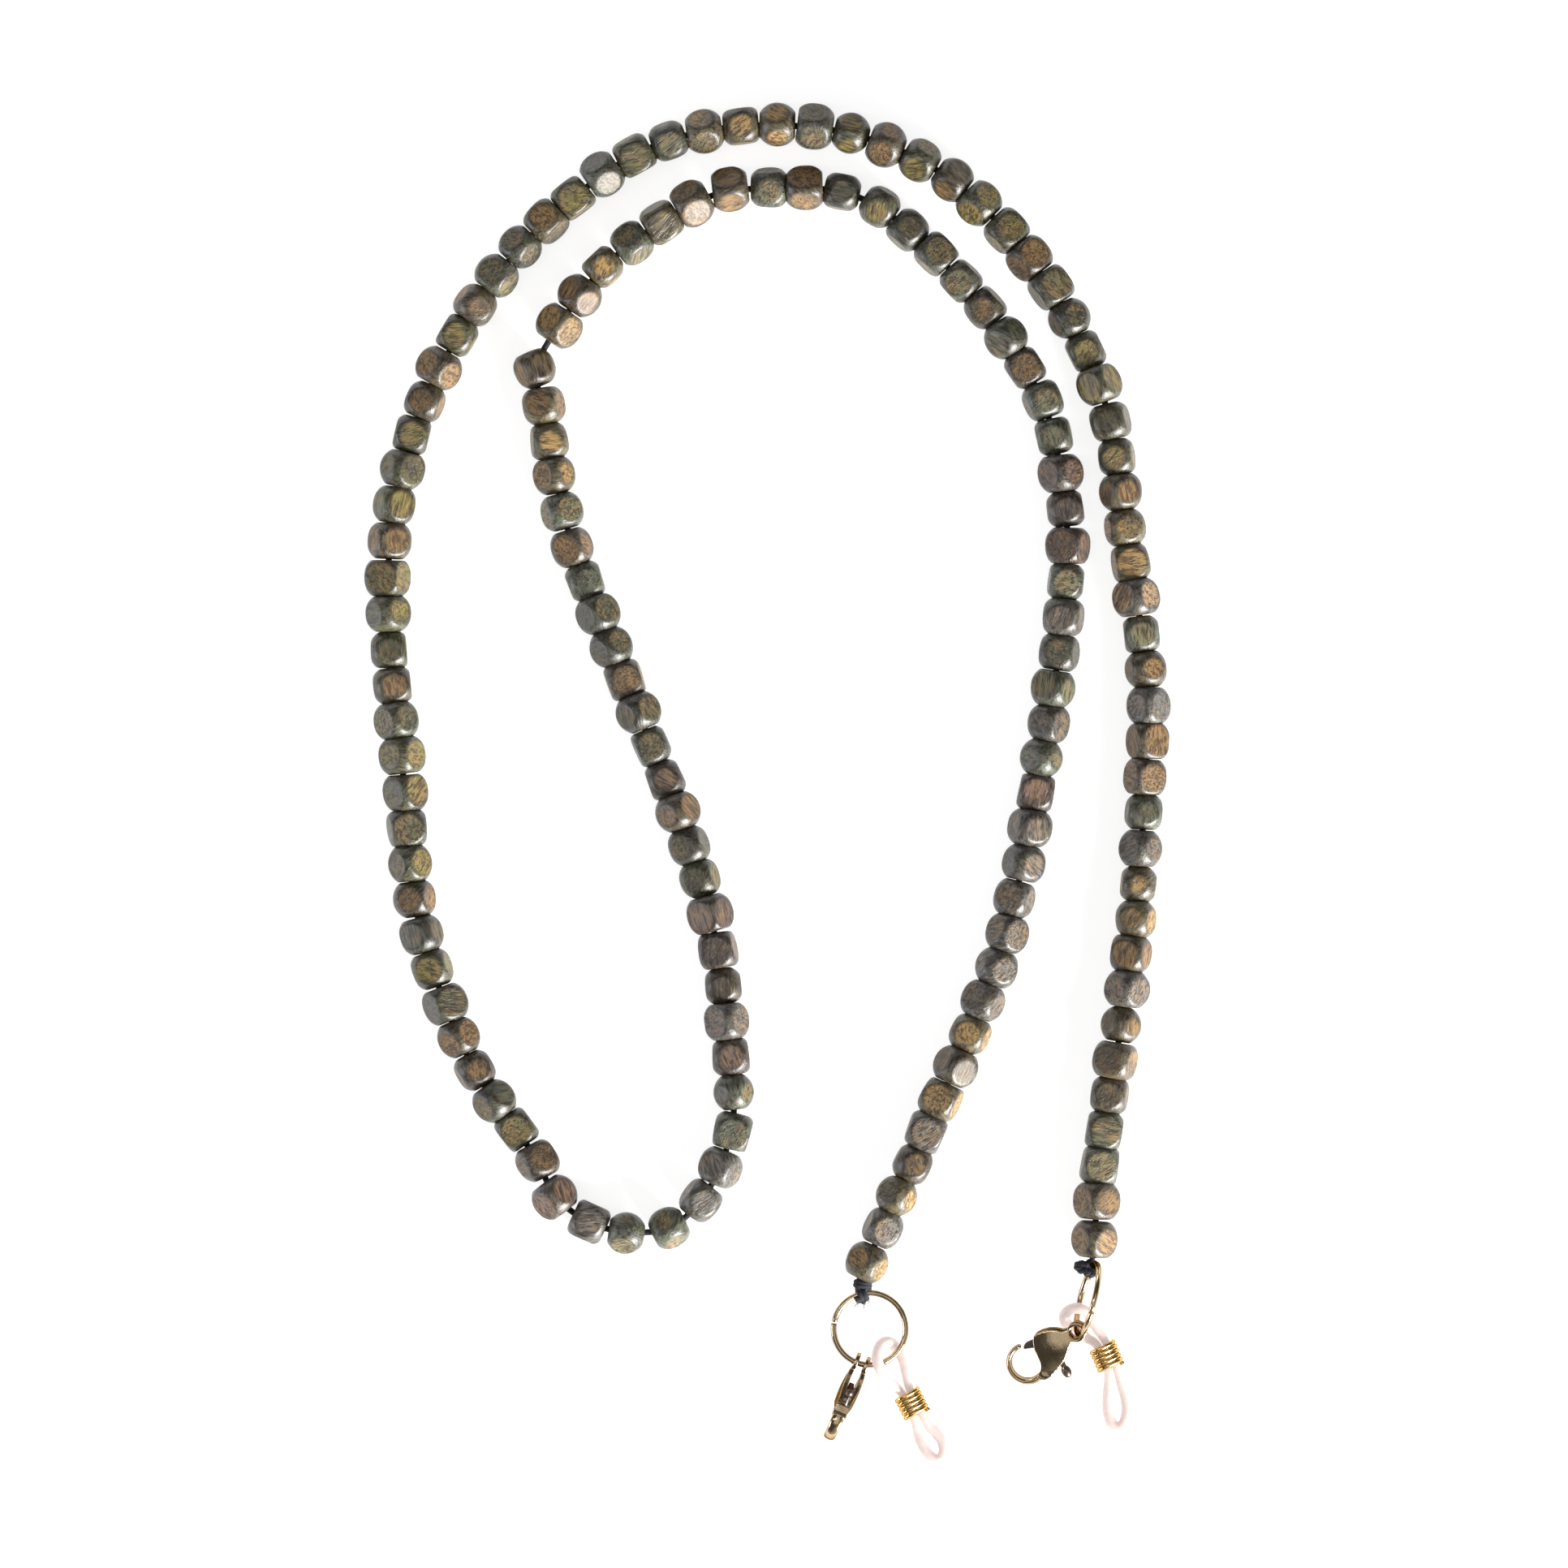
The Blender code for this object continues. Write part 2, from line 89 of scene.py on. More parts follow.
# Silicone loops and coils
TUBE_RADIUS = 0.775
LEG_SPACE = 0.66
SQUEEZE = 0.78
COIL_WIRE = 0.31
COIL_PITCH = 0.66
COIL_TURNS = 5
COIL_ACROSS = 1.67
COIL_DEEP = 1.08

ROUTE = [
    (14.0, -66.9), (18.4, -57.2), (22.6, -47.8), (30.7, -29.3), (35.2, -14.0), (38.2, 2.0),
    (40.8, 18.0), (42.0, 30.5), (41.9, 37.5), (39.6, 51.2), (34.4, 61.2), (28.4, 69.2),
    (20.8, 76.8), (12.8, 82.4), (3.5, 83.5), (-6.6, 82.9), (-14.9, 78.6), (-22.9, 72.4),
    (-29.2, 64.2), (-32.4, 59.6), (-31.6, 55.2), (-28.0, 36.0), (-20.7, 16.8), (-13.3, -1.8),
    (-7.2, -21.2), (-4.7, -42.1), (-4.8, -48.4), (-8.3, -57.0), (-14.5, -62.4), (-23.0, -61.9),
    (-29.2, -58.3), (-33.3, -50.7), (-41.9, -38.0), (-48.9, -18.4), (-50.9, 1.8), (-53.0, 21.8),
    (-51.7, 42.0), (-44.4, 60.9), (-32.8, 77.0), (-15.6, 89.5), (5.0, 92.2), (23.2, 86.4),
    (37.9, 72.2), (47.0, 54.8), (50.3, 35.1), (53.1, 14.9), (52.6, -6.3), (50.6, -27.2),
    (47.2, -48.4), (45.8, -63.7),
]
RING_A_CENTRE = (14.4, -76.2, 2.75)
RING_B_CENTRE = (44.8, -71.85, 5.43)
RING_B_LONG = (-0.249, -0.968, 0.0)
RING_B_LEAN = 8.5
RING_A_CUT, RING_B_CUT = 170, 75     # where round each ring its cut is, in degrees
KNOT_A_AT, KNOT_B_AT = 104, 215      # where round each ring its knot sits
KNOT_A_BALL = (13.42, -69.98, 2.7)
KNOT_A_RADII = (0.66, 1.35, 1.2)
KNOT_B_BALL = (44.0, -67.5, 2.3)
KNOT_B_RADII = (0.95, 0.95, 0.95)
COIL_A = (20.35, -86.83, 1.42)
COIL_A_WAY = (0.447, -0.894)
UPPER_A = [
    (17.2, -83.7, 2.5), (16.05, -82.1, 3.85), (15.5, -80.75, 4.2), (15.5, -79.4, 3.95),
    (15.95, -78.4, 3.35), (16.8, -78.0, 2.65), (17.65, -78.35, 1.9), (18.4, -79.3, 1.3),
    (19.1, -80.6, 1.3), (19.55, -82.4, 1.35),
]
LOWER_A = [
    (22.9, -90.1, 0.95), (23.8, -91.0, 0.8), (24.6, -92.1, 0.8), (24.85, -93.4, 0.8),
    (24.45, -94.4, 0.8), (23.5, -94.6, 0.8), (22.5, -93.8, 0.8), (21.7, -92.3, 0.8),
    (21.2, -90.7, 0.9),
]
COIL_B = (47.65, -80.2, 1.42)
COIL_B_WAY = (0.392, -0.92)
UPPER_B = [
    (44.9, -77.6, 0.95), (43.5, -76.7, 0.8), (42.3, -75.9, 0.8), (41.7, -74.9, 0.95),
    (42.0, -73.95, 1.45), (42.9, -73.4, 2.0), (43.8, -73.35, 2.3), (44.7, -73.8, 2.25),
    (45.5, -74.8, 1.9), (46.2, -76.0, 1.55),
]
LOWER_B = [
    (49.95, -84.6, 0.9), (50.35, -86.2, 0.8), (50.5, -87.9, 0.8),
    (50.1, -89.5, 0.8), (49.25, -90.15, 0.8), (48.4, -89.7, 0.8), (47.95, -88.4, 0.8),
    (47.8, -86.7, 0.8), (47.9, -84.8, 0.9),
]


def place_camera():
    """Looks straight down on the chain from far enough for long-lens proportions."""
    data = bpy.data.cameras.new("camera")
    data.lens = 200
    data.sensor_width = 36
    data.clip_start = 0.02
    data.clip_end = 20
    view_width = 0.2195
    camera = bpy.data.objects.new("camera", data)
    camera.location = (0.0024, 0.0001, 0.003 + view_width * data.lens / data.sensor_width)
    bpy.context.scene.collection.objects.link(camera)
    bpy.context.scene.camera = camera


# ---------------------------------------------------------------- places

def unit(x, y, z=0.0):
    return Vector((x, y, z)).normalized()


def smooth_points(points, steps, cyclic=False):
    """Points along a Catmull-Rom curve through the given ones."""
    points = [Vector(p) for p in points]
    count = len(points)
    if cyclic:
        ring = [points[(i - 1) % count] for i in range(count + 3)]
    else:
        ring = [2 * points[0] - points[1]] + points + [2 * points[-1] - points[-2]]
    made = []
    for before, start, end, after in zip(ring, ring[1:], ring[2:], ring[3:]):
        for step in range(steps):
            t = step / steps
            bend = 2 * before - 5 * start + 4 * end - after
            twist = 3 * start - before - 3 * end + after
            made.append(0.5 * (2 * start + (end - before) * t + bend * t * t + twist * t**3))
    return made if cyclic else made + [points[-1]]


def bead_places():
    """The middle and the heading of every bead on the ground plan."""
    fine = np.array([(p.x, p.y) for p in smooth_points([(x, y, 0) for x, y in ROUTE], 40)]) * MM
    steps = np.diff(fine, axis=0)
    lengths = np.linalg.norm(steps, axis=1)
    headings = np.unwrap(np.arctan2(steps[:, 1], steps[:, 0]))
    turn = np.abs(np.gradient(headings))
    share = np.convolve(lengths - INNER_SHARE * turn, np.ones(9) / 9, "same")
    along = np.concatenate([[0.0], np.cumsum(share)])
    at = np.linspace(0, along[-1], BEADS)
    x, y = (np.interp(at, along, fine[:, axis]) for axis in (0, 1))
    middles = along[:-1] + np.diff(along) / 2
    return [(px, py, way) for px, py, way in zip(x, y, np.interp(at, middles, headings))]


def bead_sizes():
    """Roll about the strand and cross size of every bead, the same on each run."""
    chance = random.Random(144)
    made = []
    for _ in range(BEADS):
        roll = chance.choice(ROLLS)
        wobble = chance.uniform(-4, 4) if roll else 0.0
        side = BEAD_SIDE * (1 + chance.uniform(-1, 1) * SIDE_SPREAD)
        made.append((math.radians(roll + wobble), side))
    return made


def frame_of(origin, along, up):
    """A matrix whose X runs along, whose Z is the part of up square to it, at origin in millimetres."""
    along = along.normalized()
    up = (up - along * up.dot(along)).normalized()
    turn = Matrix((along, up.cross(along), up)).transposed().to_4x4()
    return Matrix.Translation(Vector(origin)) @ turn


def ring_frame_a():
    return frame_of(RING_A_CENTRE, Vector((1, 0, 0)), Vector((0, 0, 1)))


def ring_frame_b():
    long = unit(*RING_B_LONG)
    side = Vector((-long.y, long.x, 0))
    lean = math.radians(RING_B_LEAN)
    up = Vector((0, 0, 1)) * math.cos(lean) + side * math.sin(lean)
    return frame_of(RING_B_CENTRE, long, long.cross(up))


def ring_place(matrix, degrees):
    """The wire's middle and its direction at an angle round the ring."""
    angle = math.radians(degrees)
    point = matrix @ Vector((RING_RADIUS * math.cos(angle), RING_RADIUS * math.sin(angle), 0))
    way = matrix.to_3x3() @ Vector((-math.sin(angle), math.cos(angle), 0))
    return point, way


def clasp_frame_a():
    eye = Vector(RING_A_CENTRE) + RING_RADIUS * unit(-0.243, -0.970)
    return frame_of(eye, unit(-0.405, -0.914), Vector((0.914, -0.405, 0)))


def clasp_frame_b():
    eye = ring_place(ring_frame_b(), -18)[0]
    return frame_of(eye, unit(-0.86, -0.45, -0.235), -Vector((0, 0, 1)) - 0.07 * unit(0.46, -0.88))


# ---------------------------------------------------------------- shapes

class Shape:
    """Shells of one piece, gathered in millimetres until they become its mesh."""

    def __init__(self):
        self.points = np.zeros((0, 3))
        self.faces = []
        self.marks = {}

    def add(self, points, faces, **marks):
        """Adds a shell. The marks are numbers, vectors or colours for each of its points."""
        start = len(self.points)
        self.points = np.vstack([self.points, points])
        self.faces += [tuple(start + i for i in face) for face in faces]
        for name, values in marks.items():
            self.marks.setdefault(name, []).append(np.asarray(values, float))
        return self

    def mesh(self, name, scale=MM):
        made = bpy.data.meshes.new(name)
        made.from_pydata((self.points * scale).tolist(), [], self.faces)
        for mark, parts in self.marks.items():
            values = np.concatenate(parts)
            kind, field = ("FLOAT", "value") if values.ndim == 1 else (
                ("FLOAT_VECTOR", "vector") if values.shape[1] == 3 else ("FLOAT_COLOR", "color"))
            attribute = made.attributes.new(mark, kind, "POINT")
            attribute.data.foreach_set(field, values.astype(np.float32).ravel())
        made.shade_smooth()
        return made


def tube(points, radii, sides=14, cyclic=False, flat=1.0, up=None, end="round"):
    """A round or oval wire through the points. Its radius may change along it, and flat makes it
    that much thicker along up. Its ends are rounded, or cut off square with a small chamfer."""
    points = np.array([tuple(p) for p in points], float)
    count = len(points)
    radii = np.broadcast_to(np.asarray(radii, float), (count,)).copy()
    if cyclic:
        ways = np.roll(points, -1, axis=0) - np.roll(points, 1, axis=0)
    else:
        ways = np.gradient(points, axis=0)
    ways /= np.linalg.norm(ways, axis=1)[:, None]
    if up is None:
        side = np.array(Vector(ways[0]).orthogonal().normalized())
        sideways = []
        for way in ways:
            side = side - way * side.dot(way)
            side /= np.linalg.norm(side)
            sideways.append(side)
        sideways = np.array(sideways)
    else:
        sideways = np.cross(np.asarray(up, float), ways)
        sideways /= np.linalg.norm(sideways, axis=1)[:, None]
    others = np.cross(ways, sideways)
    rows = [(points[i], radii[i], i) for i in range(count)]
    if not cyclic:
        steps = ((0.0, 0.0), (0.35, 0.62), (0.72, 0.9)) if end == "round" else ((0.0, 0.0), (0.0, 0.86))
        for at, outward in ((0, -1), (count - 1, 1)):
            caps = []
            for share, radius_share in steps:
                reach = (share - 1) * radii[at] if end == "round" else 0.0
                caps.append((points[at] - outward * ways[at] * reach, radii[at] * radius_share, at))
            if end != "round":
                rows[0 if outward < 0 else -1] = (
                    points[at] - outward * ways[at] * 0.14 * radii[at], radii[at], at)
            rows = caps + rows if outward < 0 else rows + caps[::-1]
    angles = np.arange(sides) * 2 * math.pi / sides
    if cyclic:
        # The last row meets the first turned by a little, which is shared out along the wire.
        first = sideways[0] - ways[-1] * sideways[0].dot(ways[-1])
        gap = math.atan2(first.dot(others[-1]), first.dot(sideways[-1]))
        twists = gap * np.arange(count) / count
    else:
        twists = np.zeros(count)
    made = []
    for middle, radius, i in rows:
        turned = angles + twists[i]
        made.append(middle + radius * (np.outer(np.cos(turned), sideways[i])
                                       + flat * np.outer(np.sin(turned), others[i])))
    made = np.concatenate(made)
    levels = len(rows)
    faces = []
    for level in range(levels if cyclic else levels - 1):
        here, above = level * sides, (level + 1) % levels * sides
        for i in range(sides):
            j = (i + 1) % sides
            faces.append((here + i, here + j, above + j, above + i))
    return made, faces


def ball(matrix, radii, across=16, high=10):
    """An ellipsoid in the matrix's frame, in millimetres."""
    bm = bmesh.new()
    bmesh.ops.create_uvsphere(bm, u_segments=across, v_segments=high, radius=1.0)
    bmesh.ops.transform(bm, matrix=matrix @ Matrix.Diagonal((*radii, 1)), verts=bm.verts)
    points = np.array([tuple(v.co) for v in bm.verts])
    faces = [tuple(v.index for v in f.verts) for f in bm.faces]
    bm.free()
    return points, faces


def plate(outlines, thickness, matrix):
    """A plate with holes: the first outline is its edge and the others are cut out of it."""
    curve = bpy.data.curves.new("plate", "CURVE")
    curve.dimensions = "2D"
    curve.fill_mode = "BOTH"
    curve.extrude = thickness / 2
    for outline in outlines:
        spline = curve.splines.new("POLY")
        spline.points.add(len(outline) - 1)
        for made, place in zip(spline.points, outline):
            made.co = (place[0], place[1], 0, 1)
        spline.use_cyclic_u = True
    obj = bpy.data.objects.new("plate", curve)
    bpy.context.scene.collection.objects.link(obj)
    mesh = bpy.data.meshes.new_from_object(obj.evaluated_get(bpy.context.evaluated_depsgraph_get()))
    bpy.data.objects.remove(obj)
    bpy.data.curves.remove(curve)
    bm = bmesh.new()
    bm.from_mesh(mesh)
    bpy.data.meshes.remove(mesh)
    bmesh.ops.remove_doubles(bm, verts=bm.verts, dist=1e-4)
    bmesh.ops.recalc_face_normals(bm, faces=bm.faces)
    bmesh.ops.transform(bm, matrix=matrix, verts=bm.verts)
    bm.verts.index_update()
    points = np.array([tuple(v.co) for v in bm.verts])
    faces = [tuple(v.index for v in f.verts) for f in bm.faces]
    bm.free()
    return points, faces


def swell(x, y):
    """How thick a clasp is at a place on its side, against a plain plate: slim at the eye and the
    ears, and domed over the lever."""
    slim = np.interp(x, (-1.4, 0.4, 2.6, 4.6, 6.4, 8.2, 11.2), (0.86, 0.84, 0.8, 0.8, 0.84, 0.95, 1.0))
    return float(slim) + 0.4 * max(0.0, 1 - ((x - 4.2) / 3.8) ** 2 - ((y + 0.5) / 3.1) ** 2)


def dome(mesh, matrix):
    """Swells a clasp's casting to both sides of its middle plane."""
    place = Matrix.Scale(MM, 4) @ matrix
    back = place.inverted()
    for vertex in mesh.vertices:
        x, y, z = back @ vertex.co
        vertex.co = place @ Vector((x, y, z * swell(x, y)))
    return mesh


def cast(shape, grain=0.08, rounds=4):
    """Melts overlapping shells into one with soft inner corners, as on a casting."""
    mesh = shape.mesh("casting", 1.0)
    obj = bpy.data.objects.new("casting", mesh)
    bpy.context.scene.collection.objects.link(obj)
    melt = obj.modifiers.new("melt", "REMESH")
    melt.mode = "VOXEL"
    melt.voxel_size = grain
    soften = obj.modifiers.new("soften", "SMOOTH")
    soften.factor = 0.5
    soften.iterations = rounds
    made = bpy.data.meshes.new_from_object(obj.evaluated_get(bpy.context.evaluated_depsgraph_get()))
    bpy.data.objects.remove(obj)
    bpy.data.meshes.remove(mesh)
    made.transform(Matrix.Scale(MM, 4))
    made.shade_smooth()
    return made


def piece(name, mesh, finish, body, replaced=()):
    """A finished piece that rides on its body and stands for the part's own solids."""
    mesh.materials.append(finish)
    obj = bpy.data.objects.new(name, mesh)
    bpy.context.scene.collection.objects.link(obj)
    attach(obj, body)
    if replaced:
        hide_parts(*replaced)
    return obj


# ---------------------------------------------------------------- finishes

class Wire:
    """A value on its way through a finish's nodes. Sums with it add the nodes that work them out."""

    def __init__(self, finish, socket):
        self.finish = finish
        self.socket = socket

    def sum(self, operation, *values):
        return self.finish.node("ShaderNodeMath", {"operation": operation}, dict(enumerate(values)))

    def __add__(self, other):
        return self.sum("ADD", self, other)

    def __sub__(self, other):
        return self.sum("SUBTRACT", self, other)

    def __rsub__(self, other):
        return self.sum("SUBTRACT", other, self)

    def __mul__(self, other):
        return self.sum("MULTIPLY", self, other)

    __radd__ = __add__
    __rmul__ = __mul__


class Finish:
    """A procedural material, or the light all round, as nodes."""

    def __init__(self, name, owner=None):
        self.owner = owner or bpy.data.materials.new(name)
        self.owner.use_nodes = True
        self.tree = self.owner.node_tree
        self.tree.nodes.clear()

    def socket(self, sockets, key):
        if isinstance(key, int):
            return sockets[key]
        return next((s for s in sockets if s.identifier == key), None) or sockets[key]

    def node(self, kind, settings=None, values=None, out=0):
        """Adds a node: first its settings, then the values or links of its sockets."""
        made = self.tree.nodes.new(kind)
        for name, value in (settings or {}).items():
            if name == "stops":
                while len(made.color_ramp.elements) < len(value):
                    made.color_ramp.elements.new(0.5)
                for element, (at, colour) in zip(made.color_ramp.elements, value):
                    element.position = at
                    element.color = colour if isinstance(colour, tuple) else (colour,) * 3 + (1.0,)
            else:
                setattr(made, name, value)
        for key, value in (values or {}).items():
            socket = self.socket(made.inputs, key)
            if isinstance(value, Wire):
                self.tree.links.new(value.socket, socket)
            else:
                socket.default_value = value
        return Wire(self, self.socket(made.outputs, out)) if made.outputs else None

    def mix(self, share, first, second, how="MIX"):
        """One colour into the other, by the share."""
        settings = {"data_type": "RGBA", "blend_type": how, "clamp_factor": True}
        values = {"Factor_Float": share, "A_Color": first, "B_Color": second}
        return self.node("ShaderNodeMix", settings, values, "Result_Color")

    def step(self, value, low, high):
        """A soft step from 0 at low to 1 at high."""
        settings = {"interpolation_type": "SMOOTHSTEP"}
        values = {"Value": value, "From Min": low, "From Max": high, "To Min": 0.0, "To Max": 1.0}
        return self.node("ShaderNodeMapRange", settings, values, "Result")

    def stretched(self, place, factors, shift=(0.0, 0.0, 0.0)):
        """A place with its three directions scaled."""
        return self.node("ShaderNodeMapping", {}, {"Vector": place, "Scale": factors, "Location": shift})

    def noise(self, place, scale, detail=2.0, roughness=0.5, distortion=0.0):
        values = {"Vector": place, "Scale": scale, "Detail": detail, "Roughness": roughness,
                  "Distortion": distortion}
        return self.node("ShaderNodeTexNoise", {}, values, "Fac")

    def mark(self, name, out="Fac"):
        """What the mesh says at this point under that name."""
        settings = {"attribute_type": "GEOMETRY", "attribute_name": name}
        return self.node("ShaderNodeAttribute", settings, {}, out)

    def object_place(self):
        return self.node("ShaderNodeTexCoord", {}, {}, "Object")

    def bump(self, height, depth, strength=1.0):
        return self.node("ShaderNodeBump", {}, {"Height": height, "Distance": depth, "Strength": strength})

    def surface(self, **sockets):
        """The Principled shader with these sockets, as the material's surface."""
        values = {name.replace("_", " "): value for name, value in sockets.items()}
        shader = self.node("ShaderNodeBsdfPrincipled", {}, values)
        self.node("ShaderNodeOutputMaterial", {}, {"Surface": shader})
        return self.owner


def rgb(red, green, blue):
    """A colour given as on a colour chart, 0 to 255, as the shader's own numbers."""
    def linear(value):
        value /= 255
        return value / 12.92 if value <= 0.04045 else ((value + 0.055) / 1.055) ** 2.4
    return (linear(red), linear(green), linear(blue), 1.0)


def dyed_wood():
    """Dyed and waxed wood: the heart shows through on the worn flats, with short dark fibres."""
    wood = Finish("dyed_wood")
    place = wood.mark("grain", "Vector")
    worn = wood.mark("worn")
    dye = wood.mark("dye", "Color")
    heart = wood.mark("heart", "Color")
    broad = wood.noise(place, 0.42, 2.0)
    cloud = wood.noise(wood.stretched(place, (0.35, 1.0, 1.0), (7, 3, 1)), 0.8, 3.0, 0.6)
    fibres = wood.noise(wood.stretched(place, (0.16, 1.0, 1.0)), 2.1, 4.0, 0.66, 0.3)
    fine = wood.noise(wood.stretched(place, (0.2, 1.2, 1.2), (3, 9, 5)), 3.9, 3.0, 0.6)
    flecks = wood.noise(wood.stretched(place, (0.18, 1.0, 1.0), (11, 2, 8)), 3.0, 2.0, 0.5)
    pores = wood.step(flecks, 0.55, 0.66)
    shoulder = wood.mix(wood.step(cloud, 0.42, 0.66) * 0.7, dye, rgb(66, 56, 54))
    shoulder = wood.mix(wood.step(broad, 0.5, 0.72) * 0.4, shoulder, rgb(84, 84, 58))
    bare = wood.mix(wood.step(cloud, 0.4, 0.62) * 0.45, heart, rgb(148, 112, 68))
    rubbed = wood.step(worn + (fibres - 0.5) * 1.1 + (broad - 0.5) * 1.6, 0.15, 0.95)
    colour = wood.mix(rubbed, shoulder, bare)
    colour = wood.mix(wood.step(fibres, 0.44, 0.60) * 0.85, colour, rgb(112, 103, 94), "MULTIPLY")
    colour = wood.mix(wood.step(fine, 0.52, 0.68) * 0.22, colour, rgb(176, 158, 118))
    colour = wood.mix(pores * (0.25 + worn * 0.5), colour, rgb(44, 36, 29))
    spot_place = {0: wood.mark("spot", "Vector")}
    distance = wood.node("ShaderNodeVectorMath", {"operation": "LENGTH"}, spot_place, "Value")
    spot = 1 - wood.step(distance + (fibres - 0.5) * 0.5, 0.2, 0.42)
    colour = wood.mix(spot * 0.85, colour, rgb(70, 34, 32))
    relief = fibres * 0.7 + fine * 0.5 + broad * 0.6 - pores * worn * 0.6
    rough = 0.27 + fine * 0.16 + rubbed * 0.22
    normal = wood.bump(relief, 0.00013, 0.85)
    return wood.surface(Base_Color=colour, Roughness=rough, Normal=normal, Coat_Weight=0.3,
                        Coat_Roughness=0.3, IOR=1.5)


def braided_cord():
    """Waxed black cord: fine fibres with a little navy in them."""
    cord = Finish("braided_cord")
    place = cord.object_place()
    strands = cord.noise(cord.stretched(place, (1.0, 1.0, 2.2)), 5200, 3.0, 0.6, 0.6)
    dust = cord.noise(place, 1500, 2.0)
    colour = cord.mix(cord.step(strands, 0.4, 0.7), rgb(5, 6, 12), rgb(24, 26, 42))
    colour = cord.mix(cord.step(dust, 0.62, 0.8) * 0.2, colour, rgb(70, 69, 74))
    return cord.surface(Base_Color=colour, Roughness=0.62 + strands * 0.25,
                        Normal=cord.bump(strands, 0.00009), Sheen_Weight=0.1, Sheen_Roughness=0.5)


METAL_EDGE = (0.22, 0.16, 0.11, 1.0)     # what plated metal reflects where it turns away


def plated(name, bright, deep, shine, wear=0.5):
    """Plated casting or wire, darker where the polish has not reached."""
    metal = Finish(name)
    place = metal.object_place()
    cloud = metal.noise(place, 620, 3.0, 0.6)
    skin = metal.noise(place, 3800, 3.0, 0.6)
    colour = metal.mix(metal.step(cloud, 0.46, 0.7) * wear, bright, deep)
    rough = shine + cloud * 0.08 + skin * 0.04
    return metal.surface(Base_Color=colour, Metallic=1.0, Roughness=rough,
                         Specular_Tint=METAL_EDGE, Normal=metal.bump(skin * 0.4 + cloud, 0.00004, 0.6))


def milky_silicone():
    """Milky silicone, part clear, with a painted glow: the milky part gives off a weak light of its own,
    which keeps its shaded side pale.
    """
    rubber = Finish("milky_silicone")
    place = rubber.object_place()
    cloud = rubber.noise(place, 480, 3.0, 0.55)
    skin = rubber.noise(place, 5200, 2.0)
    milk = rubber.node("ShaderNodeBsdfPrincipled", {}, {
        "Base Color": rubber.mix(cloud, rgb(190, 177, 171), rgb(182, 168, 164)),
        # Painted glow: a constant weak light from the silicone itself, which evens out its shading.
        "Emission Color": (1.0, 0.94, 0.91, 1.0), "Emission Strength": 0.24,
        "Roughness": 0.26 + skin * 0.1, "Subsurface Weight": 1.0, "Subsurface Scale": 0.003,
        "Subsurface Radius": (1.0, 0.9, 0.9), "IOR": 1.41,
        "Normal": rubber.bump(skin, 0.00001, 0.5)})
    clear = rubber.node("ShaderNodeBsdfPrincipled", {}, {
        "Base Color": rubber.mix(cloud, rgb(250, 246, 245), rgb(244, 239, 240)),
        "Roughness": 0.10 + skin * 0.08, "Transmission Weight": 1.0, "IOR": 1.38,
        "Normal": rubber.bump(skin, 0.00001, 0.5)})
    share = 0.74 + rubber.step(cloud, 0.35, 0.7) * 0.14
    both = rubber.node("ShaderNodeMixShader", {}, {0: share, 1: clear, 2: milk})
    rubber.node("ShaderNodeOutputMaterial", {}, {"Surface": both})
    return rubber.owner


def pale_floor():
    """A light table's white sheet, which glows enough to swallow the shadows."""
    floor = Finish("pale_floor")
    tone = floor.noise(floor.object_place(), 3.0, 2.0)
    return floor.surface(Base_Color=floor.mix(tone, rgb(186, 186, 188), rgb(190, 190, 190)), Roughness=0.8,
                         Emission_Color=(1.0, 1.0, 1.0, 1.0), Emission_Strength=0.80)


# ---------------------------------------------------------------- beads

def bead_net():
    """A cube's surface as NET by NET squares a side, drilled through its two ends: the direction of
    each point, and the faces. The squares round the hole are drawn into circles."""
    middle = NET // 2
    ticks = np.tan((np.arange(NET + 1) - middle) / middle * math.pi / 4)
    found, ways, faces = {}, [], []

    def corner(axis, sign, i, j):
        u, v = ticks[i], ticks[j]
        ring = max(abs(i - middle), abs(j - middle))
        if axis == 0 and ring:
            reach = HOLE_RADIUS * 2 / BEAD_LENGTH if ring == 1 else abs(ticks[middle + ring])
            share = (middle - ring) / (middle - 1)
            length = math.hypot(u, v)
            u, v = (share * reach * w / length + (1 - share) * w for w in (u, v))
        way = [0.0, 0.0, 0.0]
        way[axis], way[(axis + 1) % 3], way[(axis + 2) % 3] = sign, u, v
        key = tuple(round(w, 5) for w in way)
        if key not in found:
            found[key] = len(ways)
            ways.append(way)
        return found[key]

    for axis in range(3):
        for sign in (-1.0, 1.0):
            for i in range(NET):
                for j in range(NET):
                    if axis == 0 and i in (middle - 1, middle) and j in (middle - 1, middle):
                        continue
                    square = ((i, j), (i + 1, j), (i + 1, j + 1), (i, j + 1))
                    quad = [corner(axis, sign, *at) for at in square]
                    faces.append(quad if sign > 0 else quad[::-1])
    rim = [(1, 0), (1, 1), (0, 1), (-1, 1), (-1, 0), (-1, -1), (0, -1), (1, -1)]
    for here, there in zip(rim, rim[1:] + rim[:1]):
        front = [corner(0, 1.0, middle + i, middle + j) for i, j in (here, there)]
        back = [corner(0, -1.0, middle + i, middle + j) for i, j in (there, here)]
        faces.append([*front, *back])
    return np.array(ways), faces


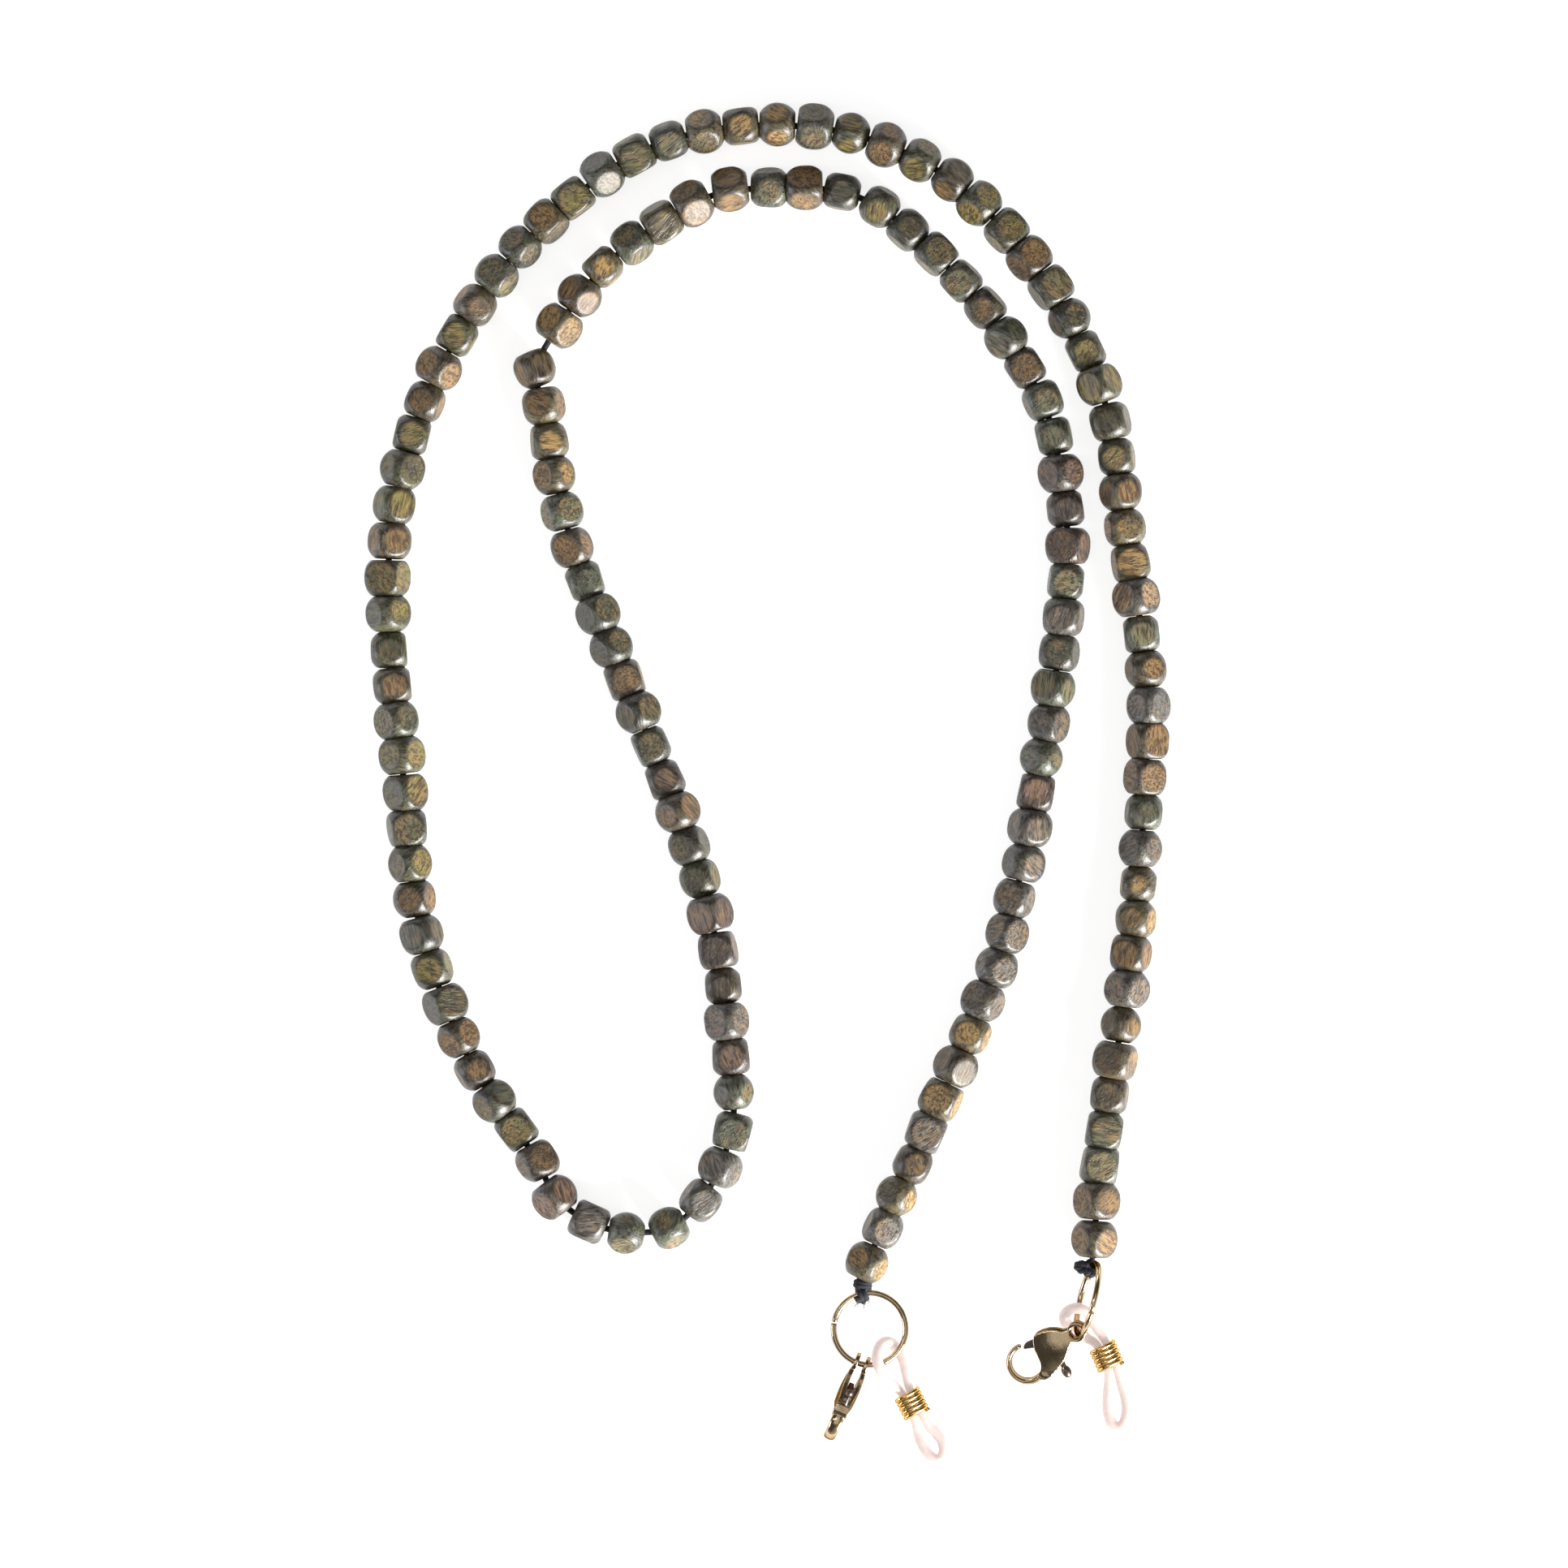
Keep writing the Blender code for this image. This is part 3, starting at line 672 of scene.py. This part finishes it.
def turned_bead(ways, halves, ball_share, chance):
    """A cube sawn a little out of true and tumbled until its edges are shoulders: its points in
    millimetres, and how far the wear has gone through the dye at each of them."""
    unit_ways = ways / np.linalg.norm(ways, axis=1)[:, None]
    reaches, wears = [], []
    for axis in range(3):
        for sign in (-1, 1):
            tilt = FACE_TILT if axis else END_TILT
            normal = np.array([chance.gauss(0, tilt) for _ in range(3)])
            normal[axis] = sign
            normal /= np.linalg.norm(normal)
            depth = 1 - abs(chance.gauss(0, FACE_SPREAD)) if axis else 1.0
            reaches.append(depth / np.maximum(unit_ways @ normal, 0.05))
            wears.append(chance.choice(FACE_WEAR))
    reaches = np.array(reaches)
    boxy = chance.uniform(1.95, 2.3)
    shoulder = ball_share * (np.abs(unit_ways) ** boxy).sum(axis=1) ** (-1 / boxy)
    shoulder = shoulder * (1 + unit_ways @ np.array([chance.gauss(0, 0.025) for _ in range(3)]))
    reach = ((reaches**-EDGE_SHARPNESS).sum(axis=0) + shoulder**-EDGE_SHARPNESS) ** (-1 / EDGE_SHARPNESS)
    for _ in range(3):
        way = np.array([chance.gauss(0, 1.8) for _ in range(3)])
        reach = reach * (1 + 0.007 * np.sin(unit_ways @ way + chance.uniform(0, 6.3)))
    flat = np.clip((shoulder - reaches.min(axis=0)) * 7 + 0.25, 0, 1)
    worn = flat * np.array(wears)[reaches.argmin(axis=0)]
    return unit_ways * reach[:, None] * halves, worn


# Dye and heart colours of the wood, by how they look together
GREY_GREEN = (rgb(78, 83, 68), rgb(104, 100, 72))
BLACK_GREEN = (rgb(64, 68, 57), rgb(94, 89, 60))
OLIVE = (rgb(78, 78, 55), rgb(122, 110, 54))
UMBER = (rgb(78, 69, 53), rgb(128, 98, 58))
PLUM = (rgb(72, 62, 58), rgb(106, 84, 72))
SMOKE = (rgb(82, 80, 76), rgb(104, 96, 86))
TAN = (rgb(92, 84, 60), rgb(162, 130, 76))
# Up to which bead a stretch of the strand reaches, its woods, and how light it is
STRETCHES = [
    (12, (SMOKE, UMBER, TAN, SMOKE), 1.2),
    (24, (PLUM, SMOKE, UMBER, PLUM, GREY_GREEN), 1.0),
    (38, (OLIVE, BLACK_GREEN, UMBER, GREY_GREEN, UMBER), 0.95),
    (50, (OLIVE, UMBER, GREY_GREEN, TAN), 1.12),
    (62, (BLACK_GREEN, UMBER, PLUM, OLIVE, UMBER), 0.95),
    (72, (SMOKE, PLUM, TAN, GREY_GREEN), 1.15),
    (84, (OLIVE, BLACK_GREEN, UMBER), 0.9),
    (98, (OLIVE, GREY_GREEN, UMBER), 1.0),
    (110, (GREY_GREEN, OLIVE, TAN, BLACK_GREEN), 1.0),
    (122, (UMBER, BLACK_GREEN, OLIVE, OLIVE, TAN), 0.98),
    (144, (UMBER, TAN, GREY_GREEN, SMOKE), 1.12),
]
# Beads with a mark on them: number, where it is on the bead, and its heart colour
MARKED = {45: ((0.3, -0.6, 2.3), UMBER[1]), 126: ((-0.5, 0.5, 2.4), rgb(172, 142, 104))}


def wood_of(number, chance):
    """The dye and the heart colour of a bead, each as light as that bead is."""
    woods, light = next((woods, light) for last, woods, light in STRETCHES if number <= last)
    dye, heart = chance.choice(woods)
    light *= chance.uniform(0.78, 1.28)
    return [c * light for c in dye[:3]] + [1.0], [c * light for c in heart[:3]] + [1.0]


def bead_strand(wood, cord_finish):
    """Every run's six beads, and the cord through them from one bend to the next."""
    places, sizes = bead_places(), bead_sizes()
    ways, faces = bead_net()
    chance = random.Random(7)
    middles, shells = [], []
    for number, ((x, y, way), (roll, side)) in enumerate(zip(places, sizes), 1):
        length, width = BEAD_LENGTH * chance.uniform(0.985, 1.0), side * chance.uniform(0.98, 1.01)
        halves = np.array([length, width, side]) / 2
        own, worn = turned_bead(ways, halves, BALL_SHARE * chance.uniform(0.965, 1.065), chance)
        turn = Matrix.Rotation(way, 3, "Z") @ Matrix.Rotation(chance.uniform(-0.03, 0.03), 3, "Z")
        turn = np.array(turn @ Matrix.Rotation(roll, 3, "X"))
        laid = own @ turn.T
        in_run = (number - 1) % RUN
        shift = ((RUN - 1) / 2 - in_run) * RUN_SQUEEZE
        x, y = x / MM + math.cos(way) * shift, y / MM + math.sin(way) * shift
        middle = np.array([x, y, -laid[:, 2].min()])
        axis = Vector([chance.gauss(0, 1) for _ in range(3)]).normalized()
        grain_turn = np.array(Matrix.Rotation(chance.uniform(0, 6.3), 3, axis))
        grain = own @ grain_turn.T + np.array([chance.uniform(-90, 90) for _ in range(3)])
        dye, heart = wood_of(number, chance)
        spot = np.full_like(own, 60.0)
        if number in MARKED:
            at, heart = MARKED[number]
            spot = laid - np.array(at)
        marks = {"grain": grain, "worn": worn, "spot": spot, "dye": np.tile(dye, (len(own), 1)),
                 "heart": np.tile(heart, (len(own), 1))}
        middles.append(middle)
        shells.append((laid + middle, marks))

    ends = [middles[0] - [math.cos(places[0][2]) * 2.6, math.sin(places[0][2]) * 2.6, 0]]
    ends += [(middles[i - 1] + middles[i]) / 2 for i in range(RUN, BEADS, RUN)]
    ends += [middles[-1] + [math.cos(places[-1][2]) * 2.6, math.sin(places[-1][2]) * 2.6, 0]]
    for run in range(RUNS):
        body, node = f"strand_{run + 1:02d}", f"bead_run_{run + 1:02d}"
        first = run * RUN
        shape = Shape()
        for points, marks in shells[first:first + RUN]:
            shape.add(points, faces, **marks)
        name = f"beads_{run + 1:02d}"
        beads = piece(name, shape.mesh(name), wood, body, [node])
        line = smooth_points([ends[run], *middles[first:first + RUN], ends[run + 1]], 5)
        name = f"cord_{run + 1:02d}"
        mesh = Shape().add(*tube(line, CORD_RADIUS, 12)).mesh(name)
        cord = piece(name, mesh, cord_finish, body, [node])
        path = [tuple(p * MM) for p in line]
        length = sum((a - b).length for a, b in zip(line, line[1:])) * MM
        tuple(path[0])


# ---------------------------------------------------------------- fittings

def jump_ring(name, matrix, cut_at, misfit, finish):
    """A ring of round wire, cut and closed, with its two ends a little off each other."""
    start, turn, count = cut_at + RING_SEAM / 2, 360 - RING_SEAM, 110
    normal = matrix.to_3x3() @ Vector((0, 0, 1))
    line = []
    for i in range(count + 1):
        share = i / count
        point, _ = ring_place(matrix, start + turn * share)
        near_end = max(0.0, 1 - share * 9) - max(0.0, 1 - (1 - share) * 9)
        line.append(point + normal * misfit * near_end)
    mesh = Shape().add(*tube(line, WIRE_RADIUS, 16, end="cut")).mesh(name)
    piece(f"{name}_wire", mesh, finish, name, [name])


def arc(middle, radius, start, end, count):
    angles = [math.radians(start + (end - start) * i / (count - 1)) for i in range(count)]
    return [(middle[0] + radius * math.cos(a), middle[1] + radius * math.sin(a), 0) for a in angles]


def circle(middle, radius, count=28):
    return arc(middle, radius, 0, 360 - 360 / count, count)


def lobster_clasp(side, matrix, gold, bronze, steel):
    """Two ears with the ring's eye, a solid root with the hook, and between the ears the darker
    lever on its polished-over rivet with its leaf spring."""
    name = f"clasp_{side}"
    eye = arc((0, 0), EYE_RADIUS, -38, -318, 22)
    back = [(1.7, 1.0), (2.4, 1.6), (3.2, 2.05), (4.5, 2.35), (5.7, 2.15)]
    front = [(6.3, 0.85), (6.4, -0.3), (6.55, -1.6), (7.0, -2.45), (7.3, -3.2), (6.7, -3.8)]
    belly = [(6.05, -3.8), (4.9, -3.45), (3.15, -2.6), (1.9, -1.4)]
    edge = [(x, y, 0) for x, y in back + front + belly]
    outline = eye + smooth_points(edge, 3)
    shape = Shape()
    offset = (CLASP_THICK - EAR_THICK) / 2
    for up in (-offset, offset):
        ear = matrix @ Matrix.Translation((0, 0, up))
        shape.add(*plate([outline, circle((0, 0), EYE_HOLE)], EAR_THICK, ear))
    root = [(5.9, -3.7), (6.55, -1.9), (6.75, -2.2), (7.5, -2.75), (7.9, -3.3), (7.3, -3.95), (6.4, -4.0)]
    outline = smooth_points([(x, y, 0) for x, y in root], 3, cyclic=True)
    shape.add(*plate([outline], CLASP_THICK - 0.1, matrix))
    hook = [matrix @ Vector(p) for p in arc(HOOK_MIDDLE, HOOK_RADIUS, -128, 92, 44)]
    widths = [HOOK_ROOT + (HOOK_TIP - HOOK_ROOT) * (i / 43) ** 1.2 for i in range(44)]
    up = matrix.to_3x3() @ Vector((0, 0, 1))
    shape.add(*tube(hook, widths, 16, flat=1.9, up=up))
    casting = dome(cast(shape, 0.07, 8), matrix)
    piece(f"{name}_casting", casting, gold, name, [f"{name}_body"])

    lever = Shape()
    nose = [(4.3, 1.6), (6.0, 1.72), (7.35, 1.75), (7.85, 1.2), (7.3, 0.95), (6.1, 0.55), (4.9, 0.2)]
    arm = [(4.55, -0.6), (4.35, -2.2), (4.4, -3.3), (4.3, -4.0)]
    heel = [(3.85, -4.0), (3.75, -3.3), (3.6, -2.0), (3.1, -0.2), (3.0, 0.9), (3.4, 1.5)]
    outline = smooth_points([(x, y, 0) for x, y in nose + arm + heel], 3, cyclic=True)
    lever.add(*plate([outline, circle(RIVET, RIVET_RADIUS + 0.06, 16)], LEVER_THICK, matrix))
    lever.add(*ball(matrix @ Matrix.Translation((*KNOB, 0)), KNOB_RADII, 24, 16))
    lever_body = f"{name}_lever"
    piece(f"{name}_thumb_lever", cast(lever, 0.06, 3), bronze, lever_body, [lever_body])

    half = CLASP_THICK / 2
    rivet_line = [matrix @ Vector((*RIVET, z)) for z in np.linspace(-half - 0.02, half + 0.02, 9)]
    heads = [RIVET_RADIUS * (1.18 if i in (0, 8) else 1.0) for i in range(9)]
    rivet = Shape().add(*tube(rivet_line, heads, 20, end="cut")).mesh(f"{name}_pin")
    piece(f"{name}_pin", rivet, gold, name, [f"{name}_rivet"])

    leaf = [(5.16, -2.6, 0), (5.2, -1.9, 0), (5.32, -1.25, 0), (5.6, -1.05, 0), (5.95, -1.02, 0)]
    spring_line = [matrix @ p for p in smooth_points(leaf, 5)]
    spring = Shape().add(*tube(spring_line, 0.09, 10, flat=3.6, up=up, end="cut")).mesh(f"{name}_leaf")
    piece(f"{name}_leaf", spring, steel, name, [f"{name}_spring"])


def temple_loop(side, upper, lower, coil_at, coil_way, finish):
    """One band of silicone: round the jump ring, through the coil and round the temple."""
    middle, way = Vector(coil_at), unit(*coil_way)
    across = Vector((-way.y, way.x, 0)) * LEG_SPACE
    half = COIL_PITCH * COIL_TURNS / 2 + 0.5
    right = [middle + across + way * along for along in (-half, 0, half)]
    left = [middle - across + way * along for along in (half, 0, -half)]
    route = smooth_points([*upper, *right, *lower, *left], 7, cyclic=True)
    beyond = [max(0.0, abs((point - middle).dot(way)) - half) for point in route]
    radii = [TUBE_RADIUS * min(1.0, SQUEEZE + (1 - SQUEEZE) * reach / 2.4) for reach in beyond]
    name = f"temple_loop_{side}"
    mesh = Shape().add(*tube(route, radii, 20, cyclic=True)).mesh(name)
    piece(f"{name}_silicone", mesh, finish, name, [name])


def wire_coil(side, middle, way, finish):
    """Close turns of gold wire round the loop's two legs, with its end left short at one side."""
    matrix = frame_of(middle, unit(*way), Vector((0, 0, 1)))
    steps = 40
    line = []
    for i in range(COIL_TURNS * steps + 1):
        angle = 2 * math.pi * i / steps
        along = COIL_PITCH * (i / steps - COIL_TURNS / 2)
        line.append(matrix @ Vector((along, COIL_ACROSS * math.cos(angle), COIL_DEEP * math.sin(angle))))
    name = f"coil_{side}"
    mesh = Shape().add(*tube(line, COIL_WIRE, 14, end="cut")).mesh(name)
    piece(f"{name}_wire", mesh, finish, name, [name])


def cord_turns(middle, axis, radius, thickness, turns, pitch, start, chance):
    """A cord wound in turns round an axis, a little unevenly."""
    side = axis.orthogonal().normalized()
    other = axis.normalized().cross(side)
    count = int(turns * 22)
    line, radii = [], []
    for i in range(count + 1):
        angle = start + 2 * math.pi * turns * i / count
        reach = radius * (1 + 0.05 * math.sin(3.1 * angle + start))
        along = pitch * turns * (i / count - 0.5)
        line.append(middle + axis * along + reach * (side * math.cos(angle) + other * math.sin(angle)))
        radii.append(thickness * (1 + chance.uniform(-0.06, 0.06)))
    return tube(line, radii, 12)


def hair(start, way, length, chance):
    """A frayed fibre that curls away from where it leaves the cord."""
    line, point = [], Vector(start)
    curl = Vector([chance.gauss(0, 1) for _ in range(3)]) * 0.22
    for _ in range(8):
        line.append(point)
        point = point + way * (length / 7)
        way = (way + curl + Vector([chance.gauss(0, 1) for _ in range(3)]) * 0.12).normalized()
    return tube(line, [0.024 * (1 - 0.08 * i) for i in range(8)], 6)


def cord_knot(side, wrap_at, wrap_way, ball_at, ball_way, ball_radii, inward, strand, finish):
    """The cord's end: turns round a ball under the last bead, two turns round the ring's wire,
    two strands between them, cut ends and frayed fibres."""
    chance = random.Random(31 if side == "a" else 32)
    shape = Shape()
    ball_at, ball_way = Vector(ball_at), ball_way.normalized()
    matrix = frame_of(ball_at, ball_way, Vector((0, 0, 1)))
    shape.add(*ball(matrix, [r * 0.95 for r in ball_radii], 18, 12))
    thickness = 0.42
    wide = (ball_radii[1] + ball_radii[2]) / 2 - thickness * 0.8
    shape.add(*cord_turns(ball_at, ball_way, wide, thickness, 2.2, 0.42, 0.4, chance))
    shape.add(*cord_turns(Vector(wrap_at), wrap_way.normalized(), 0.86, 0.38, 2.1, 0.62, 1.0, chance))
    between = Vector(wrap_at) - ball_at
    lift = Vector((0, 0, 1))
    for sideways in (-0.45, 0.5):
        across = between.cross(lift).normalized() * sideways
        line = [ball_at + across * 1.4 + lift * 0.5,
                ball_at + between * 0.35 + across + lift * 0.75,
                ball_at + between * 0.75 + across * 0.8 + lift * 0.6,
                Vector(wrap_at) + across * 0.5 + lift * 0.55]
        shape.add(*tube(smooth_points(line, 5), 0.36, 12))
    inward = inward.normalized()
    for turn in (-0.9, 0.1, 1.0):
        way = (Matrix.Rotation(turn, 3, "Z") @ inward + lift * chance.uniform(-0.1, 0.35)).normalized()
        root = Vector(wrap_at) + inward * 0.5 + way * 0.2
        line = [root, root + way * 0.25, root + way * 0.45 + lift * 0.05]
        shape.add(*tube(smooth_points(line, 4), [0.34 + 0.01 * i for i in range(9)], 10))
        for _ in range(9):
            out = (way + Vector([chance.gauss(0, 0.5) for _ in range(3)])).normalized()
            shape.add(*hair(root + way * 0.6, out, chance.uniform(0.5, 1.5), chance))
    for _ in range(12):
        out = Vector((chance.gauss(0, 1), chance.gauss(0, 1), abs(chance.gauss(0, 0.5)))).normalized()
        shape.add(*hair(ball_at + out * wide, out, chance.uniform(0.3, 0.7), chance))
    name = f"knot_{side}"
    piece(f"{name}_cord", shape.mesh(name), finish, strand, [name])


# ---------------------------------------------------------------- setting

def lay_floor():
    bm = bmesh.new()
    bmesh.ops.create_grid(bm, x_segments=8, y_segments=8, size=3.0)
    mesh = bpy.data.meshes.new("floor")
    bm.to_mesh(mesh)
    bm.free()
    mesh.materials.append(pale_floor())
    floor = bpy.data.objects.new("floor", mesh)
    bpy.context.scene.collection.objects.link(floor)


def soft_box(name, place, size, power, colour):
    """A soft box that faces the middle of the chain."""
    data = bpy.data.lights.new(name, "AREA")
    data.shape = "RECTANGLE"
    data.size, data.size_y = size
    data.energy = power
    data.color = colour
    light = bpy.data.objects.new(name, data)
    light.location = place
    light.rotation_euler = (Vector((0, 0, 0)) - Vector(place)).to_track_quat("-Z", "Y").to_euler()
    bpy.context.scene.collection.objects.link(light)


def light_room():
    """Light from all round that is weaker from the upper left, a bright patch straight overhead, and
    four soft boxes: the key at the lower right, a thin strip above, and weak ones left and behind."""
    world = bpy.data.worlds.new("room")
    bpy.context.scene.world = world
    room = Finish("room", world)
    way = room.node("ShaderNodeTexCoord", {}, {}, "Generated")
    split = room.node("ShaderNodeSeparateXYZ", {}, {"Vector": way}, "X")
    node = split.socket.node
    across, forth, high = (Wire(room, node.outputs[i]) for i in range(3))
    slope = across * 0.64 - forth * 0.77
    low = 1 - room.step(high, 0.05, 0.4)
    strength = 0.09 + room.step(slope, 0.25, 0.95) * 0.55 + low * 0.26 + room.step(high, 0.87, 0.94) * 0.68
    glow = {"Color": (0.97, 0.985, 1.0, 1.0), "Strength": strength}
    background = room.node("ShaderNodeBackground", {}, glow)
    room.node("ShaderNodeOutputWorld", {}, {"Surface": background})
    soft_box("key", (0.54, -0.64, 0.28), (0.42, 0.34), 22.0, (1.0, 0.99, 0.97))
    soft_box("strip", (-0.25, 0.03, 0.54), (0.07, 0.5), 0.35, (1.0, 0.97, 0.9))
    soft_box("fill", (-0.75, -0.15, 0.20), (0.4, 0.3), 2.2, (0.86, 0.9, 1.0))
    soft_box("back", (-0.34, 0.86, 0.12), (0.6, 0.2), 1.2, (0.95, 0.97, 1.0))


def build():
    place_camera()
    bpy.context.scene.view_settings.view_transform = "Standard"
    cord_finish = braided_cord()
    bead_strand(dyed_wood(), cord_finish)
    rose = plated("antique_gold", (0.56, 0.42, 0.26, 1.0), (0.24, 0.17, 0.11, 1.0), 0.045)
    bronze = plated("dark_bronze", (0.15, 0.12, 0.10, 1.0), (0.06, 0.05, 0.045, 1.0), 0.34)
    yellow = plated("bright_gold", (0.78, 0.51, 0.17, 1.0), (0.50, 0.29, 0.08, 1.0), 0.10, 0.35)
    steel = plated("spring_steel", (0.56, 0.54, 0.50, 1.0), (0.30, 0.28, 0.26, 1.0), 0.24)
    silicone = milky_silicone()

    frame_a, frame_b = ring_frame_a(), ring_frame_b()
    jump_ring("ring_a", frame_a, RING_A_CUT, 0.2, rose)
    jump_ring("ring_b", frame_b, RING_B_CUT, 0.05, rose)
    wrap_a, wrap_a_way = ring_place(frame_a, KNOT_A_AT)
    wrap_b, wrap_b_way = ring_place(frame_b, KNOT_B_AT)
    cord_knot("a", wrap_a, wrap_a_way, KNOT_A_BALL, unit(0.18, 1.0), KNOT_A_RADII,
              Vector(RING_A_CENTRE) - wrap_a, "strand_01", cord_finish)
    cord_knot("b", wrap_b, wrap_b_way, KNOT_B_BALL, unit(0.2, 1.0), KNOT_B_RADII,
              Vector(RING_B_CENTRE) - wrap_b, f"strand_{RUNS}", cord_finish)
    lobster_clasp("a", clasp_frame_a(), rose, bronze, steel)
    lobster_clasp("b", clasp_frame_b(), rose, bronze, steel)
    temple_loop("a", UPPER_A, LOWER_A, COIL_A, COIL_A_WAY, silicone)
    temple_loop("b", UPPER_B, LOWER_B, COIL_B, COIL_B_WAY, silicone)
    wire_coil("a", COIL_A, COIL_A_WAY, yellow)
    wire_coil("b", COIL_B, COIL_B_WAY, yellow)
    lay_floor()
    light_room()


build()
